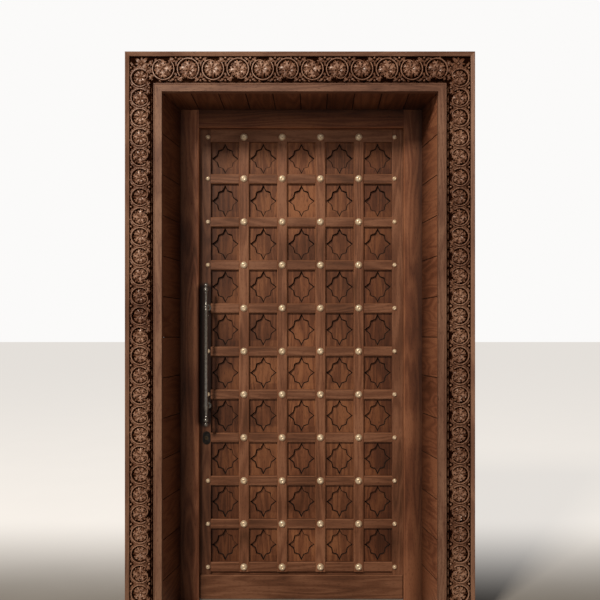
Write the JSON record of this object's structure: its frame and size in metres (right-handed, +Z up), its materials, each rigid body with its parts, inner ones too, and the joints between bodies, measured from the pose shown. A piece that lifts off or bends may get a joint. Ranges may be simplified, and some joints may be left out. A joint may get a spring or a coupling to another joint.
{
  "type": "carved temple door",
  "caption": "Hinged wooden lattice door with sunk star panels, brass studs and a pull handle, in a frame with a boarded splayed reveal and a carved scroll architrave.",
  "frame": {"origin": "centre of the bounding box at floor level", "axes": "+Z up, +X to the right seen from the carved side, +Y from the carved side into the building"},
  "size_m": [1.4194, 0.3415, 2.321],
  "materials": {
    "bead_wood": "satin",
    "carved_wood": "satin",
    "lining_wood": "satin",
    "batten_wood": "sawn",
    "frame_wood": "satin",
    "leaf_wood": "satin",
    "lattice_wood": "satin",
    "panel_wood": "satin",
    "back_wood": "satin",
    "stud_brass": "polished",
    "hinge_steel": "brushed",
    "lock_steel": "brushed",
    "cylinder_brass": "satin",
    "black_iron": "black, semi-gloss"
  },
  "bodies": {
    "frame": {"outer_bead_left": "bead_wood", "outer_bead_right": "bead_wood", "outer_bead_top": "bead_wood", "inner_bead_left": "bead_wood", "inner_bead_right": "bead_wood", "inner_bead_top": "bead_wood", "carved_band_left": "carved_wood", "carved_band_right": "carved_wood", "carved_band_top": "carved_wood", "lining_left": "lining_wood", "lining_right": "lining_wood", "lining_soffit": "lining_wood", "battens_left": "batten_wood", "battens_right": "batten_wood", "battens_top": "batten_wood", "post_left": "frame_wood", "post_right": "frame_wood", "head": "frame_wood", "strike_plate": "hinge_steel", "hinge_leaves_fixed": "hinge_steel", "hinge_pins": "hinge_steel", "frame_screws": "hinge_steel"},
    "leaf": {"lock_stile": "leaf_wood", "hinge_stile": "leaf_wood", "top_rail": "leaf_wood", "bottom_rail": "leaf_wood", "kick_board": "leaf_wood", "upright_1": "lattice_wood", "upright_2": "lattice_wood", "upright_3": "lattice_wood", "upright_4": "lattice_wood", "crossbar_1": "lattice_wood", "crossbar_2": "lattice_wood", "crossbar_3": "lattice_wood", "crossbar_4": "lattice_wood", "crossbar_5": "lattice_wood", "crossbar_6": "lattice_wood", "crossbar_7": "lattice_wood", "crossbar_8": "lattice_wood", "crossbar_9": "lattice_wood", "crossbar_10": "lattice_wood", "star_panels_1": "panel_wood", "star_panels_2": "panel_wood", "star_panels_3": "panel_wood", "star_panels_4": "panel_wood", "star_panels_5": "panel_wood", "back_boards": "back_wood", "brass_studs": "stud_brass", "edge_studs": "stud_brass", "hinge_leaves_moving": "hinge_steel", "leaf_screws": "hinge_steel", "lock_case": "lock_steel", "lock_forend": "lock_steel", "lock_cylinder": "cylinder_brass", "escutcheons": "black_iron", "pull_bar": "black_iron", "handle_posts": "black_iron", "handle_nuts": "black_iron"},
    "bolt": {"lock_bolt": "lock_steel"},
    "plug": {"key_plug": "cylinder_brass"}
  },
  "joints": [
    {"name": "leaf_swing", "type": "hinge", "parent": "frame", "child": "leaf", "pos_m": [0.4605, 0.16475, 1.0485], "axis": [0, 0, -1], "range_deg": [0, 110]},
    {"name": "bolt_throw", "type": "slide", "parent": "leaf", "child": "bolt", "axis": [-1, 0, 0], "range_m": [0, 0.02]},
    {"name": "key_turn", "type": "hinge", "parent": "leaf", "child": "plug", "pos_m": [-0.42, 0.12425, 0.716], "axis": [0, 1, 0], "range_deg": [0, 360]}
  ],
  "couplings": [
    {"joint": "key_turn", "follows": "bolt_throw", "rad_per_m": 314.16}
  ]
}
